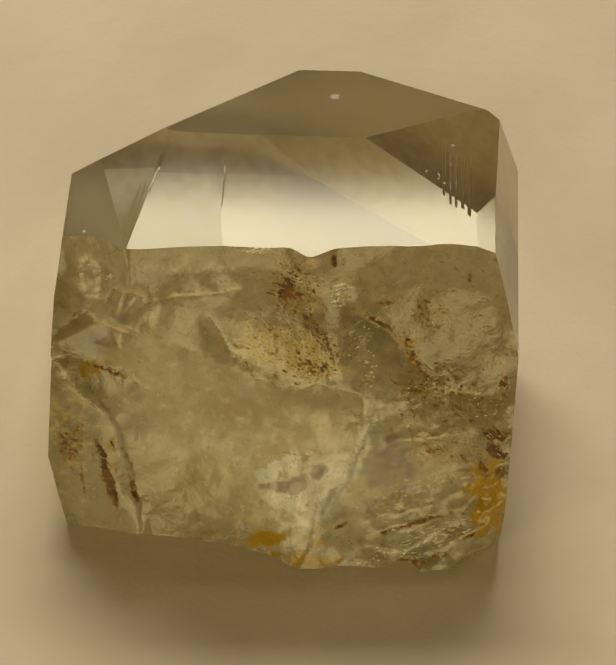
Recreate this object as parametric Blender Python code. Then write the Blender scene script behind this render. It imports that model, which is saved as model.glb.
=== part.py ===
"""A broken topaz crystal that lies on one of its prism faces.

The crystal's c axis runs close to Y. The broken end faces -Y and the natural end faces +Y. The
origin is at the bottom, in the middle of the crystal's length and width. The flat faces are
the crystal's own forms: each one is given by its Miller index and its distance from the
middle of the crystal. The broken end is cut by one relief of bowls, facets and ledges.
"""

import math

import bmesh
import bpy
from mathutils import Matrix, Vector, noise

MM = 0.001

# Driving dimensions, in millimetres.
THICKNESS = 17.0
BLANK_SIZE = 32.0

# Axial ratios of topaz, a : b : c.
AXIS_A, AXIS_B, AXIS_C = 0.528, 1.0, 0.955
TOP_FACE_INDEX = (1, 2, 0)
C_AXIS_TURN = math.radians(-2.0)

# Growth faces: name, Miller index, distance from the middle of the crystal.
GROWTH_FACES = (
    ("top prism", (1, 2, 0), THICKNESS / 2),
    ("bottom prism", (-1, -2, 0), THICKNESS / 2),
    ("right strip", (1, 1, 0), 11.62),
    ("right upper prism", (1, -1, 0), 13.95),
    ("right lower prism", (1, -2, 0), 13.70),
    ("right underside", (0, -1, 0), 14.8),
    ("left shoulder", (1, 4, 0), 10.74),
    ("left prism", (-1, 2, 0), 13.8),
    ("left lower prism", (-1, 1, 0), 14.8),
    ("upper pyramid", (1, 2, 1), 10.19),
    ("lower pyramid", (-1, -2, 1), 11.6),
    ("left dome", (0, 1, 1), 12.65),
    ("right dome", (0, -1, 1), 12.17),
    ("back upper dome", (1, 0, 3), 15.3),
    ("back corner pyramid", (1, -1, 2), 16.3),
    ("basal end", (0, 0, 1), 13.75),
)

# Uneven faces that have no simple index: name, lean from +Z and heading in degrees (heading 0
# is +X and 90 is +Y), and a point that the face passes through.
UNEVEN_FACES = (
    ("right bevel", 10.8, 49.1, (4.5, 6.31, THICKNESS)),
    ("left vicinal", 1.6, 190.0, (-3.8, 0.0, THICKNESS)),
    ("left upper side", 82.1, 175.7, (-12.8, 3.85, 15.6)),
)

# The break is a plane through FRACTURE_FOOT that leans back by FRACTURE_SLOPE, and its relief
# is measured outward from that plane. On it, x is across and w is up the slope.
FRACTURE_FOOT = (0.0, -13.35, 0.0)
FRACTURE_SLOPE = math.radians(56.0)
FRACTURE_REACH_X = 17.0
FRACTURE_BELOW = 4.0
FRACTURE_ABOVE = 26.0
FRACTURE_STEP = 0.5
FRACTURE_CLEARANCE = 25.0

# Bowls of the conchoidal break: name, centre (x, w), radii (x, w), turn in degrees, depth.
BOWLS = (
    ("great bowl", (-6.9, 5.5), (9.0, 9.5), 0.0, 2.2),
    ("stained hollow", (-10.7, 10.6), (3.4, 2.9), -35.0, 2.0),
    ("shelf bowl", (-2.2, 14.6), (6.5, 4.2), -20.0, 0.75),
    ("left scoop", (-11.4, 14.3), (2.4, 1.9), 0.0, 1.9),
    ("left channel", (-9.4, 16.9), (1.0, 1.9), -25.0, 0.9),
    ("left top bowl", (-13.6, 18.6), (4.6, 5.2), 0.0, 2.5),
    ("right bowl", (9.2, 14.6), (7.2, 6.2), 15.0, 0.9),
    ("lower right bowl", (7.6, 4.6), (6.0, 3.4), 28.0, 0.95),
    ("right heel bowl", (14.6, 0.2), (4.8, 3.6), 30.0, 1.9),
    ("heel chip", (6.9, -0.6), (1.5, 1.4), 0.0, 0.6),
)

# Flat fracture facets: name, point (x, w, height), rise per millimetre of x and of w.
FACETS = (
    ("left lower facet", (-13.5, 1.8, -2.6), 0.16, 0.09),
)
FACET_TOP_W = 13.1
FACET_TOP_RISE = 3.0

# Lumps that the break left standing: name, centre (x, w), radius, height.
LUMPS = (
    ("edge tongue", (1.6, 20.3), 0.9, 0.6),
    ("left lump", (-11.4, 18.3), 0.5, 0.35),
    ("right rubble", (7.6, 11.4), 0.8, 0.3),
    ("heel lump", (8.1, -0.2), 0.6, 0.35),
)

# Ledges: name, start and end (x, w) with the low side on the right of that direction,
# drop, and the run over which the drop fades out on the low side.
LEDGES = (
    ("shelf ledge, upper part", (-4.2, 15.4), (-2.4, 12.2), 0.45, 2.6),
    ("shelf ledge, middle", (-2.4, 12.2), (1.5, 12.1), 0.5, 2.8),
    ("shelf ledge, lower part", (1.5, 12.1), (4.3, 11.0), 0.4, 2.2),
    ("feathered ledge", (-6.9, 17.3), (-3.0, 17.8), 0.2, 1.2),
    ("right ledge, upper", (4.5, 16.0), (8.8, 12.5), 0.3, 1.8),
    ("right ledge, lower", (6.2, 10.0), (12.8, 10.6), 0.35, 1.4),
    ("pale band edge", (5.4, 10.2), (3.2, 4.4), 0.35, 1.8),
    ("lower right ridge", (3.0, 1.8), (11.0, 4.6), 0.3, 1.5),
)
LEDGE_FACE = 0.6
LEDGE_END_FADE = 0.7

ROUGHNESS_HEIGHT = 0.16
ROUGHNESS_SIZE = 2.6

EDGE_MERGE = 0.0001

TOPAZ_COLOUR = (0.40, 0.33, 0.18, 1.0)
TOPAZ_ROUGHNESS = 0.12
TOPAZ_IOR = 1.62


def clear_scene():
    for old in list(bpy.data.objects):
        bpy.data.objects.remove(old, do_unlink=True)


def index_normal(index):
    """Unit normal of a crystal face, in crystal axes."""
    h, k, l = index
    return Vector((h / AXIS_A, k / AXIS_B, l / AXIS_C)).normalized()


def crystal_to_part():
    """Rotation that turns the top face's normal to +Z and the c axis to near +Y."""
    up = index_normal(TOP_FACE_INDEX)
    along = Vector((0.0, 0.0, 1.0))
    right = Vector((up.y, -up.x, 0.0))
    return Matrix.Rotation(C_AXIS_TURN, 3, "Z") @ Matrix((right, along, up))


def cut_flat(body, point, normal):
    """Cuts away what lies beyond a plane and closes the cut with one flat face."""
    geometry = body.verts[:] + body.edges[:] + body.faces[:]
    cut = bmesh.ops.bisect_plane(
        body, geom=geometry, plane_co=point, plane_no=normal, clear_outer=True
    )
    rim = [item for item in cut["geom_cut"] if isinstance(item, bmesh.types.BMEdge)]
    if rim:
        bmesh.ops.holes_fill(body, edges=rim, sides=0)


def grow_crystal():
    """The unbroken crystal: a blank cut by every growth face and uneven face."""
    body = bmesh.new()
    bmesh.ops.create_cube(body, size=BLANK_SIZE)
    middle = Vector((0.0, 0.0, THICKNESS / 2))
    bmesh.ops.translate(body, verts=body.verts, vec=middle)
    turn = crystal_to_part()
    for _name, index, distance in GROWTH_FACES:
        normal = turn @ index_normal(index)
        cut_flat(body, middle + normal * distance, normal)
    for _name, lean, heading, point in UNEVEN_FACES:
        lean, heading = math.radians(lean), math.radians(heading)
        normal = Vector((
            math.sin(lean) * math.cos(heading),
            math.sin(lean) * math.sin(heading),
            math.cos(lean),
        ))
        cut_flat(body, Vector(point), normal)
    return body


def bowl_height(x, w, centre, radii, turn, depth):
    """Height of a bowl: minus its depth at the centre, and zero on its rim."""
    dx, dw = x - centre[0], w - centre[1]
    turn = math.radians(turn)
    across = dx * math.cos(turn) + dw * math.sin(turn)
    up = -dx * math.sin(turn) + dw * math.cos(turn)
    return depth * ((across / radii[0]) ** 2 + (up / radii[1]) ** 2 - 1.0)


def facet_height(x, w, point, rise_x, rise_w):
    """Height of a flat facet, which turns up steeply above FACET_TOP_W."""
    height = point[2] + (x - point[0]) * rise_x + (w - point[1]) * rise_w
    return height + max(0.0, w - FACET_TOP_W) * FACET_TOP_RISE


def ledge_height(x, w, start, end, drop, run):
    """Drop of one ledge: full at its edge, fading out over its run and past its ends."""
    length_x, length_w = end[0] - start[0], end[1] - start[1]
    length = math.hypot(length_x, length_w)
    along = ((x - start[0]) * length_x + (w - start[1]) * length_w) / length
    beyond = ((x - start[0]) * length_w - (w - start[1]) * length_x) / length
    if beyond < 0.0:
        across = max(0.0, 1.0 + beyond / LEDGE_FACE)
    else:
        across = math.exp(-beyond / run)
    past_end = max(0.0, -along, along - length)
    return -drop * across * math.exp(-((past_end / LEDGE_END_FADE) ** 2))


def lump_height(x, w, centre, radius, height):
    """A low rounded lump."""
    return height * math.exp(-((x - centre[0]) ** 2 + (w - centre[1]) ** 2) / radius ** 2)


def fracture_height(x, w):
    """Relief of the broken face at (x, w)."""
    height = 0.0
    for _name, centre, radii, turn, depth in BOWLS:
        height = min(height, bowl_height(x, w, centre, radii, turn, depth))
    for _name, point, rise_x, rise_w in FACETS:
        height = min(height, facet_height(x, w, point, rise_x, rise_w))
    for _name, start, end, drop, run in LEDGES:
        height += ledge_height(x, w, start, end, drop, run)
    for _name, centre, radius, lump in LUMPS:
        height += lump_height(x, w, centre, radius, lump)
    place = Vector((x / ROUGHNESS_SIZE, w / ROUGHNESS_SIZE, 0.0))
    return height + ROUGHNESS_HEIGHT * noise.noise(place)


def fracture_point(x, w, height):
    """A point of the part's space from its place on the fracture plane."""
    up_slope = Vector((0.0, math.cos(FRACTURE_SLOPE), math.sin(FRACTURE_SLOPE)))
    outward = Vector((0.0, -math.sin(FRACTURE_SLOPE), math.cos(FRACTURE_SLOPE)))
    foot = Vector(FRACTURE_FOOT)
    return foot + Vector((x, 0.0, 0.0)) + up_slope * w + outward * height


def make_fracture_cutter():
    """A closed block whose inner side is the relief of the broken face."""
    columns = round(2 * FRACTURE_REACH_X / FRACTURE_STEP)
    rows = round((FRACTURE_ABOVE + FRACTURE_BELOW) / FRACTURE_STEP)
    cutter = bmesh.new()
    grid = []
    for row in range(rows + 1):
        w = -FRACTURE_BELOW + (FRACTURE_ABOVE + FRACTURE_BELOW) * row / rows
        line = []
        for column in range(columns + 1):
            x = -FRACTURE_REACH_X + 2 * FRACTURE_REACH_X * column / columns
            line.append(cutter.verts.new(fracture_point(x, w, fracture_height(x, w))))
        grid.append(line)
    for row in range(rows):
        for column in range(columns):
            corners = (
                grid[row][column],
                grid[row][column + 1],
                grid[row + 1][column + 1],
                grid[row + 1][column],
            )
            cutter.faces.new(corners)
    rim = [edge for edge in cutter.edges if edge.is_boundary]
    sides = bmesh.ops.extrude_edge_only(cutter, edges=rim)["geom"]
    outer = [item for item in sides if isinstance(item, bmesh.types.BMVert)]
    for vertex in outer:
        place = vertex.co - Vector(FRACTURE_FOOT)
        w = place.y * math.cos(FRACTURE_SLOPE) + place.z * math.sin(FRACTURE_SLOPE)
        vertex.co = fracture_point(place.x, w, FRACTURE_CLEARANCE)
    outer_rim = [item for item in sides if isinstance(item, bmesh.types.BMEdge)]
    outer_rim = [edge for edge in outer_rim if all(vertex in outer for vertex in edge.verts)]
    bmesh.ops.holes_fill(cutter, edges=outer_rim, sides=0)
    bmesh.ops.recalc_face_normals(cutter, faces=cutter.faces)
    return cutter


def to_object(name, body):
    """An object from a bmesh in millimetres, with its mesh in metres."""
    bmesh.ops.scale(body, verts=body.verts, vec=(MM, MM, MM))
    mesh = bpy.data.meshes.new(name)
    body.to_mesh(mesh)
    body.free()
    thing = bpy.data.objects.new(name, mesh)
    bpy.context.scene.collection.objects.link(thing)
    return thing


def break_off(crystal, cutter):
    """Cuts the fracture block out of the crystal and keeps the result as plain mesh."""
    cutter.hide_render = True
    cutter.display_type = "WIRE"
    cut = crystal.modifiers.new("Break", "BOOLEAN")
    cut.operation = "DIFFERENCE"
    cut.solver = "EXACT"
    cut.object = cutter
    graph = bpy.context.evaluated_depsgraph_get()
    broken = bpy.data.meshes.new_from_object(crystal.evaluated_get(graph))
    crystal.modifiers.clear()
    crystal.data = broken
    crystal.data.name = crystal.name
    bpy.data.objects.remove(cutter, do_unlink=True)


def clean_and_centre(crystal):
    """Triangulates the mesh and puts the middle of its box over the origin."""
    body = bmesh.new()
    body.from_mesh(crystal.data)
    bmesh.ops.remove_doubles(body, verts=body.verts, dist=EDGE_MERGE * 0.1)
    bmesh.ops.dissolve_degenerate(body, edges=body.edges, dist=EDGE_MERGE * 0.1)
    bmesh.ops.triangulate(body, faces=body.faces)
    lows = [min(vertex.co[axis] for vertex in body.verts) for axis in range(3)]
    highs = [max(vertex.co[axis] for vertex in body.verts) for axis in range(3)]
    shift = Vector((-(lows[0] + highs[0]) / 2, -(lows[1] + highs[1]) / 2, -lows[2]))
    bmesh.ops.translate(body, verts=body.verts, vec=shift)
    body.to_mesh(crystal.data)
    body.free()


def topaz_material():
    material = bpy.data.materials.new("clear_topaz")
    material.use_nodes = True
    shader = material.node_tree.nodes["Principled BSDF"]
    shader.inputs["Base Color"].default_value = TOPAZ_COLOUR
    shader.inputs["Roughness"].default_value = TOPAZ_ROUGHNESS
    shader.inputs["Metallic"].default_value = 0.0
    shader.inputs["IOR"].default_value = TOPAZ_IOR
    return material


def build():
    clear_scene()
    crystal = to_object("topaz_crystal", grow_crystal())
    cutter = to_object("fracture_cutter", make_fracture_cutter())
    break_off(crystal, cutter)
    clean_and_centre(crystal)
    crystal.data.materials.clear()
    crystal.data.materials.append(topaz_material())


build()
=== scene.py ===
"""Looks of the broken topaz crystal: clear growth faces, a stained break, pale paper, soft light."""

import math

import bmesh
import bpy
import numpy as np
from mathutils import Matrix, Vector, noise

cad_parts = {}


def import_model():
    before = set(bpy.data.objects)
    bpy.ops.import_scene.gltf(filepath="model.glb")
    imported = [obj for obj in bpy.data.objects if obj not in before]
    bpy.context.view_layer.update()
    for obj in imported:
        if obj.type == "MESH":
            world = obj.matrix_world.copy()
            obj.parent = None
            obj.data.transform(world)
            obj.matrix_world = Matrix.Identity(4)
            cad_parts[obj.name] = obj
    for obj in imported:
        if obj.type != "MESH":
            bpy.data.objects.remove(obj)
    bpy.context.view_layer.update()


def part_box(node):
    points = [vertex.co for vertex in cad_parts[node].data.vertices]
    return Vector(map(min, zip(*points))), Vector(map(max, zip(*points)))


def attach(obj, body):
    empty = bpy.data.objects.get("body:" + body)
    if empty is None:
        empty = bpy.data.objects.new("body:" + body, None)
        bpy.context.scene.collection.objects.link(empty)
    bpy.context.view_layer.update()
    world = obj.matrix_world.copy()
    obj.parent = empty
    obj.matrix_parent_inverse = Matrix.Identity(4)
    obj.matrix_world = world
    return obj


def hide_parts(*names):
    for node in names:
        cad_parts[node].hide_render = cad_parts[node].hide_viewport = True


NODE = "topaz_crystal"
MM = 0.001

# The crystal's driving dimensions, in millimetres. They are the part's own, apart from the left
# shoulder's distance, the left vicinal face's heading, the two roundings and finer forms on the break.
THICKNESS = 17.0
BLANK_SIZE = 32.0
AXIS_A, AXIS_B, AXIS_C = 0.528, 1.0, 0.955
TOP_FACE_INDEX = (1, 2, 0)
PYRAMID_INDEX = (1, 2, 1)
SHOULDER_INDEX = (1, 4, 0)
C_AXIS_TURN = math.radians(-2.0)

# Growth faces: name, Miller index, distance from the middle of the crystal.
GROWTH_FACES = (
    ("top prism", TOP_FACE_INDEX, THICKNESS / 2),
    ("bottom prism", (-1, -2, 0), THICKNESS / 2),
    ("right strip", (1, 1, 0), 11.62),
    ("right upper prism", (1, -1, 0), 13.95),
    ("right lower prism", (1, -2, 0), 13.70),
    ("right underside", (0, -1, 0), 14.8),
    ("left shoulder", SHOULDER_INDEX, 10.79),
    ("left prism", (-1, 2, 0), 13.8),
    ("left lower prism", (-1, 1, 0), 14.8),
    ("upper pyramid", PYRAMID_INDEX, 10.19),
    ("lower pyramid", (-1, -2, 1), 11.6),
    ("left dome", (0, 1, 1), 12.65),
    ("right dome", (0, -1, 1), 12.17),
    ("back upper dome", (1, 0, 3), 15.3),
    ("back corner pyramid", (1, -1, 2), 16.3),
    ("basal end", (0, 0, 1), 13.75),
)

# Faces that fit no simple index: name, lean from +Z and heading in degrees, a point on the face.
UNEVEN_FACES = (
    ("left vicinal", 1.6, 184.5, (-3.8, 0.0, THICKNESS)),
    ("left rounding, upper", 5.5, 167.0, (-8.8, 0.17, 16.861)),
    ("left rounding, lower", 11.0, 167.0, (-9.5, 0.17, 16.705)),
    ("left upper side", 82.1, 175.7, (-12.8, 3.85, 15.6)),
)

# The right bevel is cut on its own, because growth steps along the crystal notch its lower edge.
BEVEL_LEAN, BEVEL_HEADING = math.radians(10.8), math.radians(49.1)
BEVEL_POINT = (4.5, 6.31, THICKNESS)
BEVEL_REACH_LEFT, BEVEL_REACH_RIGHT = 2.0, 14.0
BEVEL_ROWS_BELOW, BEVEL_ROWS_ABOVE, BEVEL_ROWS = 17.0, 11.0, 29
BEVEL_CLEARANCE = 6.0

# Growth steps: where they run across the bevel, how deep and wide they are, how wide the riser
# between two of them is, and how far up the bevel they fade out.
STEPS_START_X, STEPS_END_X = 9.3, 11.0
STEP_DEPTHS = (0.05, 0.14)
STEP_WIDTHS = (0.12, 0.27)
STEP_RISER = 0.02
STEP_FADE = 5.0
STEP_SEED = 3

# The growth faces' edges are worn by this much, where they turn by more than the least angle.
EDGE_WEAR = 0.02
EDGE_WEAR_LEAST_ANGLE = math.radians(25.0)

# The break: a leaning plane with a relief. On it, x is across and w is up the slope.
FRACTURE_FOOT = (0.0, -13.35, 0.0)
FRACTURE_SLOPE = math.radians(56.0)

# The grid that cuts the break: how far it reaches, its step, and how far out the block goes.
FRACTURE_REACH_X = 15.6
FRACTURE_BELOW, FRACTURE_ABOVE = 3.0, 23.0
FRACTURE_STEP = 0.125
FRACTURE_CLEARANCE = 25.0

# Bowls of the conchoidal break: name, centre (x, w), radii (x, w), turn in degrees, depth.
BOWLS = (
    ("great bowl", (-6.9, 5.5), (9.0, 9.5), 0.0, 2.2),
    ("stained hollow", (-10.8, 11.7), (6.0, 3.0), -52.0, 1.35),
    ("shelf bowl", (-2.2, 14.6), (6.5, 4.2), -20.0, 0.75),
    ("left scoop", (-11.4, 14.3), (2.7, 2.1), 0.0, 1.05),
    ("left channel", (-9.3, 16.6), (0.9, 1.9), -35.0, 0.55),
    ("left top bowl", (-13.6, 18.6), (4.6, 5.2), 0.0, 2.5),
    ("right bowl", (9.2, 14.6), (7.2, 6.2), 15.0, 0.9),
    ("lower right bowl", (7.6, 4.6), (6.0, 3.4), 28.0, 0.95),
    ("right heel bowl", (14.6, 0.2), (4.8, 3.6), 30.0, 1.9),
    ("heel chip", (6.9, -0.6), (1.5, 1.4), 0.0, 0.6),
)

# Flat fracture facets: name, point (x, w, height), rise per millimetre of x and of w.
FACETS = (
    ("left lower facet", (-13.5, 1.8, -2.6), 0.16, 0.09),
)

# Beyond this line, given by a place (x, w) and a heading, a facet turns up by this steep rise.
FACET_TOP = (-14.1, 13.1)
FACET_TOP_HEADING = math.radians(38.0)
FACET_TOP_RISE = 3.0

# Crests between bowls are rounded by about this height.
CREST_ROUNDING = 0.07

# Lumps that the break left standing: name, centre (x, w), radius, height.
LUMPS = (
    ("edge tongue", (1.6, 20.3), 0.9, 0.6),
    ("left lump", (-11.4, 18.3), 0.5, 0.2),
    ("left small lump", (-10.3, 18.2), 0.3, 0.2),
    ("right rubble", (7.6, 11.4), 0.8, 0.3),
    ("heel lump", (8.1, -0.2), 0.6, 0.35),
)

# Ledges: name, edge line as (x, w) places from left to right, drop below it, how far the drop
# takes to fade out again, and how white its chipped edge and the painted highlight on its lip are.
LEDGES = (
    ("shelf", ((-4.4, 16.0), (-3.6, 14.5), (-2.4, 12.9), (-1.9, 12.0), (-0.8, 11.6),
               (0.9, 11.7), (1.6, 12.0), (4.3, 11.0)), 0.5, 2.6, 0.9),
    ("feathered line", ((-6.6, 17.35), (-4.6, 17.55), (-3.0, 17.85)), 0.16, 0.9, 0.85),
    ("scoop rim", ((-14.4, 14.0), (-12.6, 15.5), (-11.8, 15.9), (-10.8, 15.3), (-9.9, 15.0)),
     0.45, 1.6, 0.55),
    ("stained ledge", ((-14.4, 13.4), (-12.0, 13.2), (-11.1, 13.0), (-9.3, 12.0), (-8.3, 11.0)),
     0.4, 2.0, 0.4),
    ("channel rim", ((-10.5, 16.9), (-9.8, 17.75), (-9.0, 17.7), (-8.1, 17.3)), 0.4, 0.9, 0.35),
    ("lump line", ((-12.1, 18.1), (-11.3, 18.7), (-10.7, 18.0), (-10.1, 18.6)), 0.15, 0.5, 0.2),
    ("right upper", ((4.4, 16.3), (6.3, 14.9), (7.4, 13.4), (8.6, 12.3)), 0.25, 1.6, 0.2),
    ("right middle", ((6.4, 9.9), (7.6, 10.6), (8.7, 11.5), (9.8, 11.3), (11.4, 11.0)), 0.3, 1.1, 0.4),
    ("lower right ridge", ((4.9, 1.8), (6.3, 2.4), (8.4, 2.75), (10.3, 3.6), (11.6, 4.6)), 0.16, 0.9, 0.2),
    ("heel ridge", ((2.8, 0.2), (4.6, 1.3), (6.9, 1.0), (8.6, 2.0), (10.4, 2.9)), 0.14, 0.7, 0.3),
    ("small right ridge", ((5.6, 4.3), (7.5, 5.2), (9.5, 5.6)), 0.15, 0.6, 0.3),
)

# Ridges run up the break. They are given as ledges are, from the foot up, and drop on the right.
RIDGES = (
    ("left facet edge", ((-8.7, -1.0), (-9.1, 2.3), (-9.3, 4.5), (-9.8, 6.6), (-10.2, 8.2),
                         (-11.3, 10.1)), 0.14, 3.0, 0.45),
    ("pale band edge", ((2.7, 3.6), (3.6, 5.8), (4.2, 7.5), (5.0, 9.8)), 0.3, 1.6, 0.25),
)

# Across a ledge or a ridge: the width of its steep face, how fast it fades past its ends, the
# white chipped line just below its edge, and the fainter painted highlight that fades up from it over the
# lip.
LEDGE_FACE = 0.2
LEDGE_END_FADE = 0.45
CHIP_PLACE, CHIP_WIDTH = 0.08, 0.09
LIP_HIGHLIGHT, LIP_HIGHLIGHT_WIDTH = 0.8, 0.45

# Noise on the break, as layers of (height, size): how outlines wander, the roughness, and the
# rubble at the right, which is drawn out along a lean and fades to the left and up. A crest of it
# stands up by a share of the layer's height, and falls away at a multiple of that height.
WANDER = ((0.3, 2.6), (0.12, 0.9), (0.05, 0.35))
FLAKE_WANDER = ((0.1, 0.7), (0.05, 0.25))
ROUGHNESS = ((0.14, 2.7), (0.032, 0.9), (0.01, 0.3))
RUBBLE = ((0.13, 1.3), (0.05, 0.5))
RUBBLE_LEAN = math.radians(25.0)
RUBBLE_STRETCH = 2.2
RUBBLE_CREST, RUBBLE_FALL = 0.5, 2.0
RUBBLE_START_X, RUBBLE_FULL_X = 3.0, 7.0
RUBBLE_FULL_W, RUBBLE_END_W = 10.5, 13.0

# Each set of layers starts at its own place in the noise, so that no two are alike.
ROUGHNESS_LAYER = 0.0
WANDER_LAYERS = (10.0, 20.0)
RUBBLE_LAYER = 30.0
FLAKE_WANDER_LAYERS = (40.0, 50.0)

# Edges turning by more than this are sharp, on the break and round the growth faces.
BREAK_SHARP = math.radians(38.0)
GROWTH_SHARP = math.radians(0.5)

# A crystal face's polygons turn from its plane by less than this. Faces that look down are frosted.
FACE_MATCH = math.radians(3.0)
ETCHED_INDICES = (PYRAMID_INDEX, SHOULDER_INDEX)
UNDERSIDE_BELOW = -0.05

# Marks on the break, from here to SPLINTERS: name, centre (x, w), radii, turn in degrees, strength.
FLECKS = (
    ("top cluster", (0.0, 17.7), (0.5, 0.65), 0, 1.1),
    ("round the top cluster", (0.4, 17.6), (1.5, 2.0), 0, 0.55),
    ("under the tongue", (2.8, 19.6), (0.25, 0.5), 0, 1.0),
    ("dark line", (5.5, 15.5), (1.2, 0.17), -33, 1.0),
    ("smear core", (7.4, 13.5), (1.7, 0.4), -69, 0.6),
    ("above the smear", (5.8, 16.8), (0.6, 0.2), 0, 0.75),
    ("right of the smear", (8.5, 15.8), (1.4, 1.4), 0, 0.42),
    ("trail", (2.0, 14.8), (2.6, 0.5), -55, 0.7),
    ("shelf cluster", (1.6, 12.8), (1.6, 0.7), 0, 0.55),
    ("shelf specks", (-0.5, 14.4), (4.2, 2.6), 0, 0.25),
    ("right top", (10.7, 18.4), (0.18, 0.45), 0, 0.9),
    ("right rust", (12.8, 11.8), (0.35, 0.6), 0, 0.75),
    ("right rubble", (8.6, 11.4), (2.4, 1.8), 10, 0.4),
    ("right specks", (9.6, 9.4), (3.6, 3.4), 0, 0.3),
    ("right cluster, upper", (12.3, 8.7), (0.9, 0.5), 0, 0.85),
    ("right cluster, lower", (12.4, 7.6), (0.8, 0.4), -40, 1.0),
    ("right slash", (10.5, 7.0), (0.5, 0.12), -60, 1.0),
    ("right streaks", (11.7, 6.4), (0.9, 0.25), -65, 0.8),
    ("right edge", (12.7, 6.2), (0.4, 0.4), 0, 0.9),
    ("dashes", (9.0, 7.5), (0.8, 0.2), 10, 0.8),
    ("left streak, upper", (-11.1, 6.9), (0.9, 0.2), -65, 1.1),
    ("left streak, lower", (-10.7, 4.9), (1.9, 0.36), -76, 1.15),
    ("left small streak", (-12.5, 8.2), (0.4, 0.14), 85, 0.9),
    ("left fine line", (-12.3, 5.0), (1.3, 0.09), -86, 0.75),
    ("left short line", (-10.4, 7.3), (0.4, 0.11), -70, 0.9),
    ("left ridge flecks", (-9.2, 4.2), (0.9, 0.22), -75, 0.8),
    ("left specks", (-13.0, 7.4), (0.8, 1.6), 0, 0.6),
    ("left ledge line", (-10.7, 12.2), (1.5, 0.13), -20, 0.95),
    ("foot trail", (7.6, 2.6), (2.8, 0.17), 17, 0.78),
    ("foot slash", (11.0, 2.1), (0.45, 0.14), 25, 1.0),
    ("foot dark, left", (7.0, 0.4), (0.45, 0.16), 0, 1.0),
    ("foot dark, middle", (7.9, 0.3), (0.35, 0.4), 0, 0.9),
    ("foot dark, right", (9.2, 0.8), (0.9, 0.25), 25, 0.7),
    ("foot dash", (3.2, 2.6), (0.45, 0.12), 15, 0.85),
    ("crack line", (0.2, 7.1), (1.9, 0.07), 3, 0.75),
    ("crack hook", (-3.0, 9.0), (0.9, 0.1), -40, 0.6),
)

# Flakes of the pale inner crack: strength, and the outline's (x, w) corners.
PALE_FLAKES = (
    (1.0, ((-1.54, 4.86), (-1.91, 5.64), (-0.81, 6.62), (0.66, 7.41), (2.13, 7.6), (3.69, 7.62),
           (3.97, 8.39), (4.7, 9.37), (5.34, 8.97), (5.07, 7.8), (4.52, 6.43), (3.97, 5.45),
           (3.51, 4.47), (3.05, 3.49), (2.31, 2.71), (1.39, 2.41), (-0.44, 2.31), (-1.09, 3.1),
           (-1.18, 3.88))),
)
GREY_FLAKES = (
    (1.6, ((-1.5, 4.7), (-0.72, 5.06), (0.29, 5.45), (1.21, 6.04), (1.25, 4.86), (0.11, 4.66),
           (-0.99, 4.47))),
    (1.2, ((1.39, 6.62), (2.22, 6.72), (2.59, 6.53), (1.76, 5.64), (1.49, 5.45), (1.3, 6.04))),
    (1.0, ((1.76, 4.27), (2.68, 4.86), (3.41, 6.23), (2.86, 4.47), (2.13, 3.1), (1.58, 3.49))),
)
FLAKE_EDGE = 0.32

OCHRE_STAINS = (
    ("corner patch", (12.1, 4.5), (1.5, 2.9), 0, 1.2),
    ("smear", (7.3, 13.6), (1.6, 0.45), -69, 0.95),
    ("foot streak", (-1.4, 1.5), (1.7, 0.6), 14, 1.1),
    ("foot fringe", (1.0, 0.5), (2.6, 0.65), 0, 1.0),
    ("foot spot", (2.1, 1.6), (0.6, 0.4), 20, 1.0),
    ("under the left ledge", (-11.5, 12.2), (1.1, 0.55), -15, 0.75),
    ("right rubble", (8.4, 10.8), (1.5, 1.1), 10, 0.5),
    ("loops", (3.4, 17.2), (0.35, 0.55), 0, 0.8),
    ("left facet", (-10.4, 6.2), (1.0, 2.2), 10, 0.42),
    ("left edge", (-13.2, 8.0), (0.7, 1.3), 0, 0.45),
    ("round the right cluster", (11.9, 7.6), (1.4, 1.3), 0, 0.45),
    ("foot trail", (7.6, 2.4), (2.8, 0.4), 17, 0.45),
)
# Faint darker clouds in the even parts of the break. The one under the shelf is painted shade below the
# ledge.
BROWN_VEILS_AND_SHADE = (
    ("low in the great bowl", (-7.2, 3.6), (5.0, 3.2), 0, 1.1),
    ("under the shelf", (-2.7, 9.6), (3.0, 1.4), -8, 1.1),
    ("left of the shelf", (-4.0, 13.4), (0.8, 2.4), 32, 0.8),
    ("right bowl", (9.9, 15.7), (3.6, 3.2), 0, 0.65),
    ("left scoop", (-11.0, 13.8), (2.4, 1.6), -20, 1.1),
    ("stained hollow", (-10.2, 10.6), (1.2, 2.6), 35, 0.6),
)
# Yellow stains. On the shelf the yellow is a painted highlight, where the relief faces the light.
YELLOW_STAINS_AND_HIGHLIGHTS = (
    ("shelf", (0.3, 13.6), (3.6, 1.9), -10, 1.5),
    ("round the top cluster", (0.8, 17.4), (2.2, 2.2), 0, 0.35),
    ("stained hollow", (-10.4, 11.2), (1.9, 1.6), -30, 0.45),
    ("left facet", (-12.8, 9.0), (1.7, 4.2), 0, 0.6),
    ("foot", (-2.6, 2.6), (0.8, 0.35), 0, 0.6),
    ("great bowl", (-6.0, 11.5), (4.0, 3.0), 0, 0.25),
    ("right middle", (9.5, 12.5), (3.0, 3.5), 0, 0.25),
)
# Pale haze. The marks on the shelf edge and the right sparkle are painted highlights.
PALE_HAZE_AND_HIGHLIGHTS = (
    ("inner crack", (0.7, 5.2), (2.7, 2.3), -10, 0.85),
    ("round the inner crack", (-1.6, 7.6), (5.2, 4.6), 20, 0.3),
    ("shelf edge", (-1.0, 12.6), (3.4, 1.0), -20, 0.45),
    ("upper left", (-5.2, 18.6), (2.8, 1.3), 0, 0.45),
    ("right rubble", (9.2, 11.0), (1.3, 0.7), 20, 0.6),
    ("right sparkle", (3.4, 17.4), (0.8, 0.9), 0, 0.6),
    ("right middle", (6.5, 9.5), (2.8, 2.0), 20, 0.4),
    ("foot right", (7.5, 1.6), (3.4, 1.3), 15, 0.35),
    ("left spike", (-13.2, 12.0), (1.2, 1.4), -50, 0.4),
)
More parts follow.
